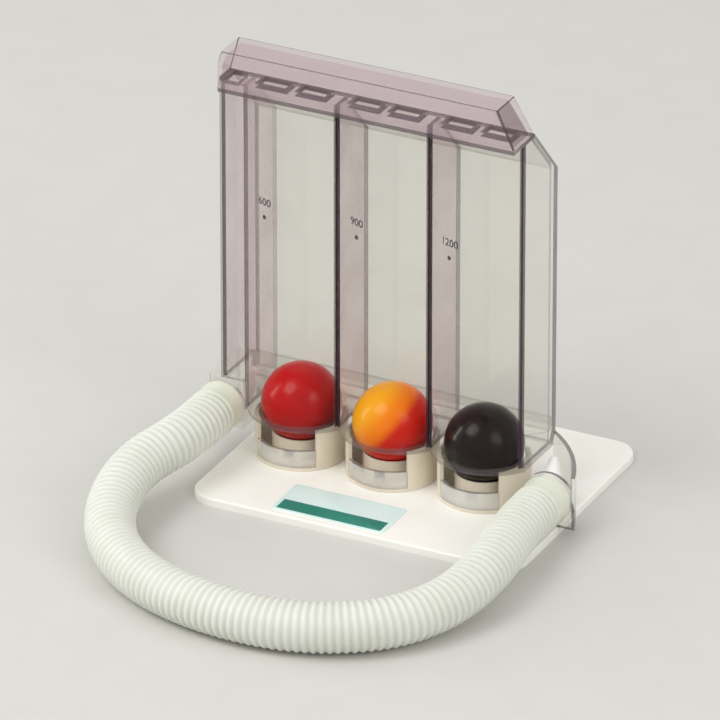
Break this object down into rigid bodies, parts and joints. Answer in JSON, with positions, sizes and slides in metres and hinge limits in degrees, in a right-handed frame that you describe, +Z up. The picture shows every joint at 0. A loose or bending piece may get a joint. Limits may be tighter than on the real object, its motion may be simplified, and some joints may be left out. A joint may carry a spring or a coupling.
{
  "type": "breathing exerciser",
  "caption": "Desk-top breathing exerciser: clear chambers with lifting balls on a white base plate, air duct, corrugated hose and docked mouthpiece.",
  "frame": {"origin": "centre of the base plate's underside", "axes": "+Z up, +X to the user's right, -Y to the front"},
  "size_m": [0.1428, 0.1776, 0.1449],
  "materials": {
    "white_plastic": "satin moulded polystyrene, warm white",
    "label_film": "smooth printed film with a green band and no words",
    "clear_styrene": "clear moulded styrene with a faint lilac tint and dark edges",
    "ball_red": "glossy hollow ball, red",
    "ball_yellow": "glossy hollow ball, yellow shading to orange-red",
    "ball_dark": "glossy hollow ball, nearly black maroon",
    "hose_plastic": "translucent corrugated polyethylene",
    "mouthpiece_white": "smooth moulded mouthpiece, white"
  },
  "bodies": {
    "housing": {"base_plate": "white_plastic", "label_plate": "label_film", "ball_seat_left": "white_plastic", "ball_seat_middle": "white_plastic", "ball_seat_right": "white_plastic", "seat_guard_left": "clear_styrene", "seat_guard_middle": "clear_styrene", "seat_guard_right": "clear_styrene", "housing_floor": "clear_styrene", "side_wall_left": "clear_styrene", "side_wall_right": "clear_styrene", "duct_wall": "clear_styrene", "partition_left": "clear_styrene", "partition_right": "clear_styrene", "back_panel": "clear_styrene", "roof_panel": "clear_styrene", "rear_rail": "clear_styrene", "front_window_left": "clear_styrene", "front_window_middle": "clear_styrene", "front_window_right": "clear_styrene", "duct_front": "clear_styrene", "outlet_plate": "clear_styrene", "top_cap": "clear_styrene", "port_elbow": "clear_styrene", "port_spigot": "clear_styrene", "mouthpiece_holder": "clear_styrene", "mouthpiece": "mouthpiece_white", "hose_cuff_port": "hose_plastic", "hose_cuff_mouth": "hose_plastic", "hose_tube": "hose_plastic"},
    "red_ball": {"ball_red": "ball_red"},
    "yellow_ball": {"ball_yellow": "ball_yellow"},
    "dark_ball": {"ball_dark": "ball_dark"}
  },
  "joints": [
    {"name": "red_ball_lift", "type": "slide", "parent": "housing", "child": "red_ball", "axis": [0, 0, 1], "range_m": [0, 0.0895]},
    {"name": "yellow_ball_lift", "type": "slide", "parent": "housing", "child": "yellow_ball", "axis": [0, 0, 1], "range_m": [0, 0.0895]},
    {"name": "dark_ball_lift", "type": "slide", "parent": "housing", "child": "dark_ball", "axis": [0, 0, 1], "range_m": [0, 0.0895]}
  ]
}
